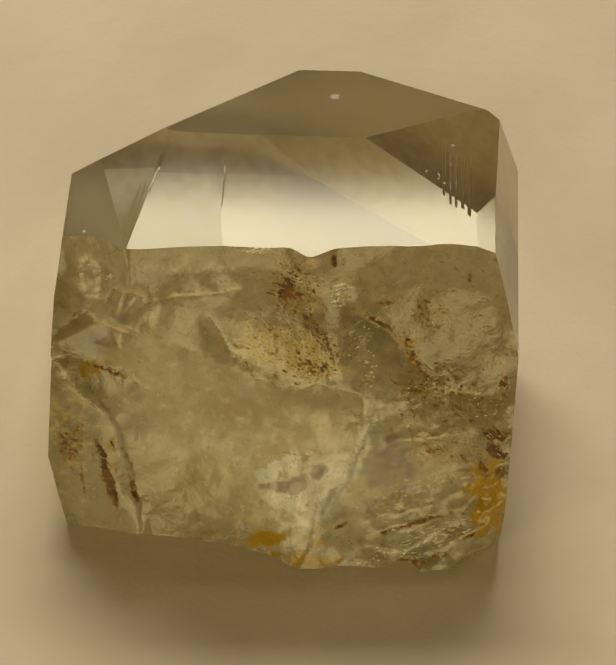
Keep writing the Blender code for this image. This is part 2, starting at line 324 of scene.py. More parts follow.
# Grey veils. The ones behind the band and under the shelf are painted shade, on the facet beyond the ridge
# and below the ledge.
GREY_VEILS_AND_SHADE = (
    ("behind the band", (6.2, 6.6), (2.0, 3.0), 15, 1.0),
    ("left scoop", (-11.2, 14.1), (1.7, 1.0), 0, 0.9),
    ("channel", (-9.3, 16.4), (0.5, 1.3), -38, 0.9),
    ("under the shelf", (-3.2, 12.4), (0.9, 2.4), 35, 0.45),
    ("top right", (8.5, 18.6), (3.4, 1.3), 0, 0.4),
    ("top middle", (3.4, 19.3), (1.4, 0.9), 0, 0.4),
    ("foot middle", (4.5, 3.4), (2.4, 1.2), 20, 0.4),
)

# White splinters: dashes in noise of these sizes, drawn out along a lean.
SPLINTERS = (
    ("loops", (3.2, 17.6), (0.8, 1.3), -15, 0.9),
    ("below the loops", (4.5, 14.8), (1.0, 2.4), -20, 0.6),
    ("shelf end", (4.9, 12.4), (0.5, 1.8), 0, 0.8),
    ("band top", (5.0, 9.4), (0.5, 0.8), 0, 0.9),
    ("right curls", (8.7, 11.3), (1.9, 1.1), 15, 0.85),
    ("right edge", (11.6, 10.6), (1.6, 1.1), 10, 0.6),
    ("shelf edge", (0.3, 12.3), (3.0, 0.6), -8, 0.6),
    ("foot, upper", (7.6, 4.6), (2.8, 1.2), 25, 0.65),
    ("foot, lower", (8.9, 2.0), (3.6, 0.9), 22, 0.95),
    ("heel", (5.4, 0.8), (2.0, 0.6), 20, 0.7),
    ("left lumps", (-11.3, 18.2), (1.5, 0.7), -10, 0.6),
    ("left tip", (-13.6, 13.4), (0.9, 0.8), 30, 0.7),
    ("edge feather", (-1.7, 20.4), (0.9, 0.35), 0, 1.3),
)
SPLINTER_SIZES = (0.5, 0.14, 0.14)
SPLINTER_LEAN = math.radians(25.0)
SPLINTER_GAIN = 0.235
SPLINTER_THRESHOLD = (0.76, 0.82)

# Small marks on the growth faces: name, place (x, y), radius, strength of the white haze.
GROWTH_SPECKS = (
    ("pyramid blob", (3.0, 10.4), 0.4, 0.5),
    ("left speck", (-11.7, -0.3), 0.12, 1.0),
    ("bevel speck, left", (6.3, 6.8), 0.1, 0.9),
    ("bevel speck, right", (10.0, 5.8), 0.12, 0.7),
    ("bevel speck, low", (9.4, 2.6), 0.1, 0.8),
)

# Share of a speck's radius that is at full strength, and how much light the haze stops there.
SPECK_CORE = 0.4
SPECK_HAZE = 0.7

# A small ring-shaped chip: middle, radius and width. Noise of this grain breaks it up.
RING_CHIP = ((8.65, 3.1), 0.46, 0.07)
RING_GRAIN = 0.3
RING_BREAKS = (0.4, 0.62)

# Grooves on the top face: name, one end, other end (x, y), width.
GROOVES = (
    ("left groove", (-8.5, 2.4), (-9.6, -2.0), 0.09),
    ("left groove, second", (-8.2, 2.4), (-9.3, -2.0), 0.06),
    ("short groove", (-7.4, 3.8), (-7.9, 2.1), 0.08),
    ("vicinal edge", (-3.5, 3.5), (-3.65, 1.0), 0.06),
)
GROOVE_DEPTH = 0.006
GROOVE_FADE = 0.3

# The grooves and the small marks fade in between these heights.
TOP_FACES_ABOVE = (11.0, 12.0)

# Fine relief: striae along the growth faces, and the grain of the break as (height, size).
STRIAE_SIZE = (0.25, 9.0, 0.25)
STRIAE_HEIGHT = 0.00025
BREAK_BUMPS = ((0.016, 0.6), (0.008, 0.3), (0.011, 0.15))

# Finer layers of a noise node. The crystal's bumps have none, because a bump node works its noise
# out three times.
NOISE_DETAIL = 2.0
BUMP_DETAIL = 0.0

# Colours of the crystal, linear.
GROWTH_COLOUR = (0.97, 0.97, 0.95, 1.0)
UNDERSIDE_LIGHT = (0.74, 0.69, 0.53, 1.0)
UNDERSIDE_DARK = (0.64, 0.58, 0.42, 1.0)
# Painted shade: dark purple for the bevel.
BEVEL_SHADE_COLOUR = (0.36, 0.34, 0.50, 1.0)
BREAK_LIGHT = (0.605, 0.535, 0.34, 1.0)
BREAK_DARK = (0.48, 0.415, 0.245, 1.0)
PALE_COLOUR = (0.93, 0.95, 0.90, 1.0)
FLECK_DARK = (0.075, 0.028, 0.003, 1.0)
FLECK_RUST = (0.22, 0.092, 0.004, 1.0)

# Colours of the stains, painted highlights and painted shade, in the order in which each one covers those
# before it.
STAIN_COLOURS = {
    "brown_veil_and_shade": (0.38, 0.30, 0.135, 1.0),
    "yellow_stain_and_highlight": (0.85, 0.69, 0.28, 1.0),
    "pale_haze_and_highlight": PALE_COLOUR,
    "grey_veil_and_shade": (0.33, 0.29, 0.25, 1.0),
    "chips_and_highlights": (0.97, 0.94, 0.78, 1.0),
    "ochre": (0.50, 0.31, 0.002, 1.0),
    "halo": (0.46, 0.28, 0.02, 1.0),
}

# Painted shade on the bevel: darkest along its lower edge, it clears between these distances above it.
BEVEL_SHADE_FADE = (0.5, 5.0)

# Flecks are where noise of these sizes, drawn out along a lean, and the mark's strength together
# pass the threshold. Each has a halo of its own colour round it.
FLECK_SIZES = ((0.46, 0.24, 0.24), (0.2, 0.11, 0.11))
FLECK_LEAN = math.radians(-38.0)
FLECK_GAIN = 0.3
FLECK_THRESHOLD = (0.72, 0.77)
FLECK_HALO = (0.63, 0.735)

# Clouds: their size, the noise values between which one colour turns into the other, and those
# between which a chipped edge and its painted lip highlight show.
CLOUD_SIZE = 0.9
CLOUDS = (0.33, 0.67)
CHIP_BREAKS = (0.35, 0.5)

# Stains, painted highlights and painted shade show where clouds, grain and the mark's strength together
# pass between these values.
STAIN_CLOUDINESS = 2.4
STAIN_GRAININESS = 0.8
STAIN_THRESHOLDS = {
    "brown_veil_and_shade": (1.7, 2.9),
    "yellow_stain_and_highlight": (1.9, 2.9),
    "pale_haze_and_highlight": (1.8, 2.8),
    "grey_veil_and_shade": (1.9, 2.7),
    "ochre": (2.0, 2.6),
}

# Share of light that passes through the clean break, the faces that look down, and the marks.
BREAK_CLARITY = 0.62
UNDERSIDE_CLARITY = 0.25
STAINED_CLARITY = {
    "brown_veil_and_shade": 0.5,
    "yellow_stain_and_highlight": 0.45,
    "pale_haze_and_highlight": 0.15,
    "grey_veil_and_shade": 0.4,
    "chips_and_highlights": 0.1,
    "ochre": 0.2,
    "fleck": 0.05,
}

# Roughness of the clear growth faces, the etched ones, those that look down, the break, the flecks.
GROWTH_ROUGHNESS = 0.06
ETCHED_ROUGHNESS = 0.3
UNDERSIDE_ROUGHNESS = 0.6
BREAK_ROUGHNESS = 0.23
FLECK_ROUGHNESS = 0.6

# Topaz, and the faint yellow that it gives to light that goes through it.
INDEX_OF_REFRACTION = 1.62
ABSORPTION_COLOUR = (1.0, 0.93, 0.72, 1.0)
ABSORPTION_DENSITY = 60.0

# Camera: straight at the broken end, from above.
CAMERA_TARGET = (1.38, -2.27, 8.5)
CAMERA_ELEVATION = math.radians(55.0)
CAMERA_DISTANCE = 190.0
CAMERA_LENS = 171.4
CAMERA_SENSOR = 36.0
CAMERA_CLIP = (0.01, 10.0)

# Light cards behind the crystal, all in one plane that faces it. To the camera, each of them but
# the lamp mirrors in a growth face. The lamp throws the shadow toward the camera.
REFLECTED_COLOUR = (1.0, 0.90, 0.62)
LAMP_COLOUR = (1.0, 0.93, 0.72)
CARD_PLANE_DISTANCE = 600.0
CARD_PLANE_ELEVATION = math.radians(58.0)

# Name, middle (across, up), width, height, radiance, colour.
CARDS = (
    ("reflected, fringe", (-30.0, -51.75), 240.0, 3.5, 2.3, REFLECTED_COLOUR),
    ("reflected, lower edge", (-30.0, -48.0), 240.0, 4.0, 5.8, REFLECTED_COLOUR),
    ("reflected, left", (-92.5, -38.0), 115.0, 16.0, 9.3, REFLECTED_COLOUR),
    ("reflected, right", (27.5, -38.0), 125.0, 16.0, 12.3, REFLECTED_COLOUR),
    ("left rounding", (-226.0, -133.5), 60.0, 9.0, 2.4, REFLECTED_COLOUR),
    ("right end", (395.0, -70.0), 80.0, 90.0, 9.0, REFLECTED_COLOUR),
    ("lamp", (-32.0, -165.0), 320.0, 100.0, 27.5, LAMP_COLOUR),
)
ROOM_COLOUR = (1.0, 0.68, 0.22, 1.0)
ROOM_RADIANCE = 0.065

# Dim low cards in front, which light the break: name, heading and elevation in degrees, radiance.
FRONT_CARDS = (
    ("front", -90.0, 15.0, 2.7),
    ("front left", -145.0, 13.0, 3.6),
)
FRONT_DISTANCE = 700.0
FRONT_SIZE = 300.0
FRONT_COLOUR = (1.0, 0.80, 0.39)

# The paper. The floor's size is in metres.
FLOOR_SIZE = 3.0
PAPER_LIGHT = (0.82, 0.71, 0.585, 1.0)
PAPER_DARK = (0.76, 0.65, 0.53, 1.0)
PAPER_CLOUD_SIZE = 12.0
PAPER_ROUGHNESS = 0.9
PAPER_SPECULAR = 0.2
PAPER_BUMPS = ((0.05, 1.6), (0.012, 0.3))

# A mix node's sockets, by kind: the numbers of its amount, under and over, and of its result.
MIX_SOCKETS = {"FLOAT": ((0, 2, 3), 0), "RGBA": ((0, 6, 7), 2)}


def index_normal(index):
    """Unit normal of a crystal face, in crystal axes."""
    h, k, l = index
    return Vector((h / AXIS_A, k / AXIS_B, l / AXIS_C)).normalized()


def crystal_to_part():
    """Rotation that turns the top face's normal to +Z and the c axis to near +Y."""
    up = index_normal(TOP_FACE_INDEX)
    along = Vector((0.0, 0.0, 1.0))
    right = Vector((up.y, -up.x, 0.0))
    return Matrix.Rotation(C_AXIS_TURN, 3, "Z") @ Matrix((right, along, up))


def leaning_normal(lean, heading):
    """Unit normal that leans from +Z toward a heading, both in radians."""
    return Vector((
        math.sin(lean) * math.cos(heading),
        math.sin(lean) * math.sin(heading),
        math.cos(lean),
    ))


def cut_flat(body, point, normal):
    """Cuts away what lies beyond a plane and closes the cut with one flat face."""
    geometry = body.verts[:] + body.edges[:] + body.faces[:]
    cut = bmesh.ops.bisect_plane(
        body, geom=geometry, plane_co=point, plane_no=normal, clear_outer=True
    )
    rim = [item for item in cut["geom_cut"] if isinstance(item, bmesh.types.BMEdge)]
    if rim:
        bmesh.ops.holes_fill(body, edges=rim, sides=0)


def grow_crystal():
    """The unbroken crystal, with its edges a little worn."""
    body = bmesh.new()
    bmesh.ops.create_cube(body, size=BLANK_SIZE)
    middle = Vector((0.0, 0.0, THICKNESS / 2))
    bmesh.ops.translate(body, verts=body.verts, vec=middle)
    turn = crystal_to_part()
    for _name, index, distance in GROWTH_FACES:
        normal = turn @ index_normal(index)
        cut_flat(body, middle + normal * distance, normal)
    for _name, lean, heading, point in UNEVEN_FACES:
        cut_flat(body, Vector(point), leaning_normal(math.radians(lean), math.radians(heading)))
    body.normal_update()
    worn = [edge for edge in body.edges if edge.calc_face_angle(0.0) > EDGE_WEAR_LEAST_ANGLE]
    bmesh.ops.bevel(body, geom=worn, offset=EDGE_WEAR, segments=2, profile=0.5, affect="EDGES")
    return body


def noise_over(x, w, size, layer):
    """Smooth noise between -1 and 1 at every (x, w)."""
    values = [noise.noise(Vector((a / size, b / size, layer))) for a, b in zip(x.flat, w.flat)]
    return np.array(values).reshape(x.shape)


def layered_noise(x, w, layers, first_layer):
    """Sum of noise layers, each given as its height and size."""
    total = np.zeros_like(x)
    for number, (amount, size) in enumerate(layers):
        total += amount * noise_over(x, w, size, first_layer + number)
    return total


def ellipse(x, w, centre, radii, turn):
    """Squared distance from a centre, as a share of the radii: 1 on the rim."""
    dx, dw = x - centre[0], w - centre[1]
    turn = math.radians(turn)
    across = dx * math.cos(turn) + dw * math.sin(turn)
    up = -dx * math.sin(turn) + dw * math.cos(turn)
    return (across / radii[0]) ** 2 + (up / radii[1]) ** 2


def facet_height(x, w, point, rise_x, rise_w):
    """Height of a flat facet, which turns up steeply beyond its top edge."""
    height = point[2] + (x - point[0]) * rise_x + (w - point[1]) * rise_w
    beyond = (x - FACET_TOP[0]) * math.cos(FACET_TOP_HEADING)
    beyond += (w - FACET_TOP[1]) * math.sin(FACET_TOP_HEADING)
    return height + np.maximum(0.0, beyond) * FACET_TOP_RISE


def scooped_height(x, w):
    """The lowest of the unbroken plane, the bowls and the facets, with rounded crests between them."""
    heights = [np.zeros_like(x)]
    for _name, centre, radii, turn, depth in BOWLS:
        heights.append(depth * (ellipse(x, w, centre, radii, turn) - 1.0))
    for _name, point, rise_x, rise_w in FACETS:
        heights.append(facet_height(x, w, point, rise_x, rise_w))
    lowest = np.min(heights, axis=0)
    closeness = np.exp((lowest - np.array(heights)) / CREST_ROUNDING)
    return lowest - CREST_ROUNDING * np.log(closeness.sum(axis=0))


def edge_fall(along, across, line):
    """Distance below an edge line at each place, and how much of the edge is there."""
    places, levels = zip(*line)
    fall = np.interp(along, places, levels) - across
    past_end = np.maximum(0.0, np.maximum(places[0] - along, along - places[-1]))
    return fall, np.exp(-((past_end / LEDGE_END_FADE) ** 2))


def edge_falls(x, w):
    """Fall, presence, drop, run and whiteness of every ledge and ridge."""
    for _name, line, drop, run, white in LEDGES:
        yield *edge_fall(x, w, line), drop, run, white
    for _name, line, drop, run, white in RIDGES:
        sideways = [(up, -across) for across, up in line]
        yield *edge_fall(w, -x, sideways), drop, run, white


def wandered(x, w, layers, first_layers):
    """The same places, moved a little, so that no outline is drawn with a ruler."""
    layer_x, layer_w = first_layers
    return x + layered_noise(x, w, layers, layer_x), w + layered_noise(x, w, layers, layer_w)


def rubble_height(x, w):
    """Splintery relief of the right side, with a crest wherever its noise passes through zero."""
    amount = np.clip((x - RUBBLE_START_X) / (RUBBLE_FULL_X - RUBBLE_START_X), 0.0, 1.0)
    amount *= np.clip((RUBBLE_END_W - w) / (RUBBLE_END_W - RUBBLE_FULL_W), 0.0, 1.0)
    along = x * math.cos(RUBBLE_LEAN) + w * math.sin(RUBBLE_LEAN)
    across = -x * math.sin(RUBBLE_LEAN) + w * math.cos(RUBBLE_LEAN)
    crests = np.zeros_like(x)
    for number, (height, size) in enumerate(RUBBLE):
        waves = noise_over(along / RUBBLE_STRETCH, across, size, RUBBLE_LAYER + number)
        crests += height * (RUBBLE_CREST - np.abs(waves) * RUBBLE_FALL)
    return amount * crests


def fracture_height(x, w):
    """Relief of the broken face over arrays of x and w."""
    near_x, near_w = wandered(x, w, WANDER, WANDER_LAYERS)
    height = scooped_height(near_x, near_w)
    for fall, presence, drop, run, _white in edge_falls(near_x, near_w):
        cliff = np.clip(fall / LEDGE_FACE, 0.0, 1.0)
        height -= drop * cliff * presence * np.exp(-np.maximum(fall, 0.0) / run)
    for _name, centre, radius, lump in LUMPS:
        height += lump * np.exp(-ellipse(near_x, near_w, centre, (radius, radius), 0.0))
    return height + layered_noise(x, w, ROUGHNESS, ROUGHNESS_LAYER) + rubble_height(x, w)


def chips_and_lip_highlights(x, w):
    """Whiteness along the chipped edge of every ledge, and a painted highlight fading up the lip above it.
    """
    near_x, near_w = wandered(x, w, WANDER, WANDER_LAYERS)
    chip_lines_and_highlights = np.zeros_like(x)
    for fall, presence, _drop, _run, white in edge_falls(near_x, near_w):
        line = np.exp(-((fall - CHIP_PLACE) / CHIP_WIDTH) ** 2)
        # Painted highlight: fades up the lip above the chipped line.
        lip_highlight = np.where(fall < CHIP_PLACE, LIP_HIGHLIGHT * np.exp(np.minimum(fall, 0.0) / LIP_HIGHLIGHT_WIDTH), 0.0)
        chip_lines_and_highlights = np.maximum(chip_lines_and_highlights, white * presence * np.maximum(line, lip_highlight))
    return chip_lines_and_highlights


def within(x, w, corners):
    """1 inside a closed outline of (x, w) corners, 0 outside, and soft at its edge."""
    inside = np.zeros(x.shape, bool)
    nearest = np.full(x.shape, np.inf)
    for (first_x, first_w), (second_x, second_w) in zip(corners, corners[1:] + corners[:1]):
        step_x, step_w = second_x - first_x, second_w - first_w
        share = ((x - first_x) * step_x + (w - first_w) * step_w) / (step_x ** 2 + step_w ** 2)
        share = np.clip(share, 0.0, 1.0)
        distance = np.hypot(x - first_x - share * step_x, w - first_w - share * step_w)
        nearest = np.minimum(nearest, distance)
        spanned = (first_w > w) != (second_w > w)
        inside ^= spanned & (x < first_x + (w - first_w) * step_x / step_w)
    depth = np.where(inside, nearest, -nearest)
    return np.clip(0.5 + depth / (2.0 * FLAKE_EDGE), 0.0, 1.0)


def marks_over(x, w, marks):
    """Strongest of a set of marks at each place."""
    mask = np.zeros_like(x)
    for _name, centre, radii, turn, strength in marks:
        mask = np.maximum(mask, strength * np.exp(-ellipse(x, w, centre, radii, turn) ** 2))
    return mask


def flakes_over(x, w, flakes):
    """Strongest of a set of flakes at each place."""
    near_x, near_w = wandered(x, w, FLAKE_WANDER, FLAKE_WANDER_LAYERS)
    return np.max([strength * within(near_x, near_w, corners) for strength, corners in flakes], axis=0)


def fracture_place(x, w, height):
    """Points of the part's space from places on the fracture plane."""
    cos, sin = math.cos(FRACTURE_SLOPE), math.sin(FRACTURE_SLOPE)
    foot_x, foot_y, foot_z = FRACTURE_FOOT
    return np.stack(
        [foot_x + x, foot_y + w * cos - height * sin, foot_z + w * sin + height * cos], axis=-1
    )


def grid_block(inner, outer):
    """A closed bmesh between two grids of points of the same size."""
    rows, columns, _three = inner.shape
    body = bmesh.new()
    near = [[body.verts.new(point) for point in row] for row in inner]
    for row in range(rows - 1):
        for column in range(columns - 1):
            body.faces.new((
                near[row][column],
                near[row][column + 1],
                near[row + 1][column + 1],
                near[row + 1][column],
            ))
    loop = [(0, column) for column in range(columns)]
    loop += [(row, columns - 1) for row in range(1, rows)]
    loop += [(rows - 1, column) for column in range(columns - 2, -1, -1)]
    loop += [(row, 0) for row in range(rows - 2, 0, -1)]
    far = {place: body.verts.new(outer[place]) for place in loop}
    for first, second in zip(loop, loop[1:] + loop[:1]):
        body.faces.new((
            near[first[0]][first[1]],
            near[second[0]][second[1]],
            far[second],
            far[first],
        ))
    body.faces.new([far[place] for place in loop])
    bmesh.ops.recalc_face_normals(body, faces=body.faces)
    return body


def fracture_cutter():
    """The block that the break takes away. Its faces carry material 1."""
    columns = round(2 * FRACTURE_REACH_X / FRACTURE_STEP) + 1
    rows = round((FRACTURE_ABOVE + FRACTURE_BELOW) / FRACTURE_STEP) + 1
    x, w = np.meshgrid(
        np.linspace(-FRACTURE_REACH_X, FRACTURE_REACH_X, columns),
        np.linspace(-FRACTURE_BELOW, FRACTURE_ABOVE, rows),
    )
    inner = fracture_place(x, w, fracture_height(x, w))
    outer = fracture_place(x, w, np.full_like(x, FRACTURE_CLEARANCE))
    body = grid_block(inner, outer)
    for face in body.faces:
        face.material_index = 1
    return body


def growth_steps():
    """Places across the bevel and how deep it is cut there: flat teeth between steep risers."""
    chance = np.random.default_rng(STEP_SEED)
    places, depths = [BEVEL_POINT[0] - BEVEL_REACH_LEFT, STEPS_START_X], [0.0, 0.0]
    start = STEPS_START_X
    while start < STEPS_END_X:
        for depth in (chance.uniform(*STEP_DEPTHS), 0.0):
            end = start + chance.uniform(*STEP_WIDTHS)
            places += [start + STEP_RISER, end]
            depths += [depth, depth]
            start = end
    places.append(BEVEL_POINT[0] + BEVEL_REACH_RIGHT)
    depths.append(0.0)
    return np.array(places), np.array(depths)


def bevel_cutter():
    """The block above the right bevel, with the growth steps on its underside."""
    normal = leaning_normal(BEVEL_LEAN, BEVEL_HEADING)
    places, depths = growth_steps()
    along = np.linspace(-BEVEL_ROWS_BELOW, BEVEL_ROWS_ABOVE, BEVEL_ROWS)[:, np.newaxis]
    x = places - along * math.tan(C_AXIS_TURN)
    y = BEVEL_POINT[1] + along + np.zeros_like(x)
    fall = ((x - BEVEL_POINT[0]) * normal.x + (y - BEVEL_POINT[1]) * normal.y) / normal.z
    fade = np.clip(1.0 - fall / (STEP_FADE * normal.y), 0.0, 1.0)
    inner = np.stack([x, y, BEVEL_POINT[2] - fall - depths * fade], axis=-1)
    return grid_block(inner, inner + np.array([0.0, 0.0, BEVEL_CLEARANCE]))


def to_object(name, body):
    """An object from a bmesh in millimetres, with its mesh in metres and room for two materials."""
    bmesh.ops.scale(body, verts=body.verts, vec=(MM, MM, MM))
    mesh = bpy.data.meshes.new(name)
    body.to_mesh(mesh)
    body.free()
    mesh.materials.append(None)
    mesh.materials.append(None)
    thing = bpy.data.objects.new(name, mesh)
    bpy.context.scene.collection.objects.link(thing)
    return thing


def cut_away(crystal, cutter):
    """Applies one exact Boolean difference and removes the cutter."""
    cut = crystal.modifiers.new("Cut", "BOOLEAN")
    cut.operation = "DIFFERENCE"
    cut.solver = "EXACT"
    cut.object = cutter
    graph = bpy.context.evaluated_depsgraph_get()
    result = bpy.data.meshes.new_from_object(crystal.evaluated_get(graph))
    crystal.modifiers.clear()
    crystal.data = result
    bpy.data.objects.remove(cutter, do_unlink=True)


def read_points(mesh):
    """Vertex positions of a mesh as an array."""
    points = np.empty(len(mesh.vertices) * 3)
    mesh.vertices.foreach_get("co", points)
    return points.reshape(-1, 3)


def looks_along(face, normal):
    """Whether a polygon belongs to the crystal face with this normal."""
    return face.normal.dot(normal) > math.cos(FACE_MATCH)


def mark_faces_and_edges(crystal):
    """Notes which faces are broken, etched or frosted, which lie on the bevel that gets painted shade, and
    which edges are sharp.
    """
    body = bmesh.new()
    body.from_mesh(crystal.data)
    broken = body.faces.layers.float.new("broken")
    bevel_shade = body.faces.layers.float.new("bevel_shade")
    frosted = body.faces.layers.float.new("frosted")
    etched = body.faces.layers.float.new("etched")
    bevel = leaning_normal(BEVEL_LEAN, BEVEL_HEADING)
    turn = crystal_to_part()
    etched_normals = [turn @ index_normal(index) for index in ETCHED_INDICES]
    for face in body.faces:
        face[broken] = float(face.material_index)
        face[bevel_shade] = float(looks_along(face, bevel))
        face[etched] = float(any(looks_along(face, normal) for normal in etched_normals))
        face[frosted] = float(face.normal.z < UNDERSIDE_BELOW)
    for edge in body.edges:
        both_broken = all(face.material_index == 1 for face in edge.link_faces)
        edge.smooth = edge.calc_face_angle(0.0) < (BREAK_SHARP if both_broken else GROWTH_SHARP)
    for face in body.faces:
        face.smooth = True
        face.material_index = 0
    body.to_mesh(crystal.data)
    body.free()


def mark_stains(crystal):
    """Writes the strength of each kind of mark at every vertex."""
    points = read_points(crystal.data) / MM - np.array(FRACTURE_FOOT)
    x = points[:, 0]
    w = points[:, 1] * math.cos(FRACTURE_SLOPE) + points[:, 2] * math.sin(FRACTURE_SLOPE)
    masks = {
        "fleck": marks_over(x, w, FLECKS),
        "ochre": marks_over(x, w, OCHRE_STAINS),
        "brown_veil_and_shade": marks_over(x, w, BROWN_VEILS_AND_SHADE),
        "yellow_stain_and_highlight": marks_over(x, w, YELLOW_STAINS_AND_HIGHLIGHTS),
        "pale_haze_and_highlight": np.maximum(marks_over(x, w, PALE_HAZE_AND_HIGHLIGHTS), flakes_over(x, w, PALE_FLAKES)),
        "grey_veil_and_shade": np.maximum(marks_over(x, w, GREY_VEILS_AND_SHADE), flakes_over(x, w, GREY_FLAKES)),
        "splinter": marks_over(x, w, SPLINTERS),
        "chips_and_highlights": chips_and_lip_highlights(x, w),
    }
    for name, values in masks.items():
        layer = crystal.data.attributes.new(name, "FLOAT", "POINT")
        layer.data.foreach_set("value", values)


def fit_to_box(crystal, low, high):
    """Moves the crystal over the CAD node's box, and shrinks it where it is larger."""
    points = read_points(crystal.data)
    own_low, own_high = points.min(axis=0), points.max(axis=0)
    middle = (np.array(low) + np.array(high)) / 2
    scale = np.minimum(1.0, (np.array(high) - np.array(low)) / (own_high - own_low))
    points = (points - (own_low + own_high) / 2) * scale + middle
    crystal.data.vertices.foreach_set("co", points.ravel())


def make_crystal(low, high):
    """The whole crystal, fitted to the CAD node's box."""
    crystal = to_object("topaz_crystal_fine", grow_crystal())
    cut_away(crystal, to_object("bevel_cutter", bevel_cutter()))
    cut_away(crystal, to_object("fracture_cutter", fracture_cutter()))
    mark_faces_and_edges(crystal)
    mark_stains(crystal)
    fit_to_box(crystal, low, high)
    crystal.data.materials.clear()
    crystal.data.materials.append(topaz_material())
    return crystal


def feed(tree, socket, value):
    """Links a socket to another, or sets its value."""
    if isinstance(value, bpy.types.NodeSocket):
        tree.links.new(value, socket)
    else:
        socket.default_value = value


def calculate(tree, operation, *values):
    """A math node's result."""
    node = tree.nodes.new("ShaderNodeMath")
    node.operation = operation
    for socket, value in zip(node.inputs, values):
        feed(tree, socket, value)
    return node.outputs["Value"]


def rise(tree, value, low, high):
    """0 below low, 1 above high, and smooth between them."""
    node = tree.nodes.new("ShaderNodeMapRange")
    node.interpolation_type = "SMOOTHSTEP"
    feed(tree, node.inputs["Value"], value)
    node.inputs["From Min"].default_value = low
    node.inputs["From Max"].default_value = high
    return node.outputs["Result"]


def mix(tree, data_type, values):
    """A mix node's result. Its values are the amount, under and over."""
    node = tree.nodes.new("ShaderNodeMix")
    node.data_type = data_type
    sockets, result = MIX_SOCKETS[data_type]
    for number, value in zip(sockets, values):
        feed(tree, node.inputs[number], value)
    return node.outputs[result]


def blend(tree, amount, under, over):
    """A number that goes from under to over as amount goes from 0 to 1."""
    return mix(tree, "FLOAT", (amount, under, over))


def blend_colour(tree, amount, under, over):
    """A colour that goes from under to over as amount goes from 0 to 1."""
    return mix(tree, "RGBA", (amount, under, over))


def attribute(tree, name):
    """A mesh attribute's value."""
    node = tree.nodes.new("ShaderNodeAttribute")
    node.attribute_name = name
    return node.outputs["Fac"]


def vector_math(tree, operation, vector, *amounts):
    """A vector math node."""
    node = tree.nodes.new("ShaderNodeVectorMath")
    node.operation = operation
    for socket, value in zip(node.inputs, (vector, *amounts)):
        feed(tree, socket, value)
    return node


def place(tree):
    """Object coordinates in millimetres."""
    coordinates = tree.nodes.new("ShaderNodeTexCoord").outputs["Object"]
    return vector_math(tree, "DIVIDE", coordinates, (MM, MM, MM)).outputs["Vector"]


def turned(tree, spot, angle):
    """The same places, turned about the Y axis."""
    node = tree.nodes.new("ShaderNodeVectorRotate")
    node.rotation_type = "Y_AXIS"
    node.inputs["Angle"].default_value = angle
    tree.links.new(spot, node.inputs["Vector"])
    return node.outputs["Vector"]


def grain(tree, spot, sizes, detail=NOISE_DETAIL):
    """Noise between 0 and 1, drawn out by a size along each axis."""
    stretched = vector_math(tree, "DIVIDE", spot, sizes).outputs["Vector"]
    node = tree.nodes.new("ShaderNodeTexNoise")
    node.inputs["Scale"].default_value = 1.0
    node.inputs["Detail"].default_value = detail
    tree.links.new(stretched, node.inputs["Vector"])
    return node.outputs["Fac"]


def even_grain(tree, spot, size, detail=NOISE_DETAIL):
    """Noise between 0 and 1 of one size."""
    return grain(tree, spot, (size, size, size), detail)


def distance_from(tree, spot, point):
    """Distance from a place (x, y), seen from above."""
    offset = vector_math(tree, "SUBTRACT", spot, (*point, 0.0)).outputs["Vector"]
    level = vector_math(tree, "MULTIPLY", offset, (1.0, 1.0, 0.0)).outputs["Vector"]
    return vector_math(tree, "LENGTH", level).outputs["Value"]


def along_direction(tree, spot, start, direction):
    """Distance past a start (x, y) in a level direction."""
    reach = vector_math(tree, "DOT_PRODUCT", spot, (*direction, 0.0)).outputs["Value"]
    from_origin = start[0] * direction[0] + start[1] * direction[1]
    return calculate(tree, "SUBTRACT", reach, from_origin)


def groove_mask(tree, spot, start, end, width):
    """1 along a straight groove, 0 away from it."""
    length = math.dist(start, end)
    direction = ((end[0] - start[0]) / length, (end[1] - start[1]) / length)
    past = along_direction(tree, spot, start, direction)
    aside = calculate(tree, "ABSOLUTE", along_direction(tree, spot, start, (-direction[1], direction[0])))
    near = calculate(tree, "SUBTRACT", 1.0, rise(tree, aside, 0.0, width))
    begun = rise(tree, past, -GROOVE_FADE, GROOVE_FADE)
    ended = rise(tree, past, length - GROOVE_FADE, length + GROOVE_FADE)
    there = calculate(tree, "SUBTRACT", begun, ended)
    return calculate(tree, "MULTIPLY", near, there)


def largest(tree, values):
    """The largest of several numbers."""
    result = values[0]
    for value in values[1:]:
        result = calculate(tree, "MAXIMUM", result, value)
    return result


def growth_marks(tree, spot, on_top):
    """Grooves, and small hazy marks, of the upper growth faces."""
    grooves = [groove_mask(tree, spot, start, end, width) for _name, start, end, width in GROOVES]
    specks = []
    for _name, middle, radius, strength in GROWTH_SPECKS:
        outside = rise(tree, distance_from(tree, spot, middle), radius * SPECK_CORE, radius)
        specks.append(calculate(tree, "MULTIPLY_ADD", outside, -strength, strength))
    middle, radius, width = RING_CHIP
    off_ring = calculate(tree, "SUBTRACT", distance_from(tree, spot, middle), radius)
    off_ring = calculate(tree, "ABSOLUTE", off_ring)
    ring = calculate(tree, "SUBTRACT", 1.0, rise(tree, off_ring, 0.0, width))
    broken_up = rise(tree, even_grain(tree, spot, RING_GRAIN), *RING_BREAKS)
    specks.append(calculate(tree, "MULTIPLY", ring, broken_up))
    return (
        calculate(tree, "MULTIPLY", largest(tree, grooves), on_top),
        calculate(tree, "MULTIPLY", largest(tree, specks), on_top),
    )


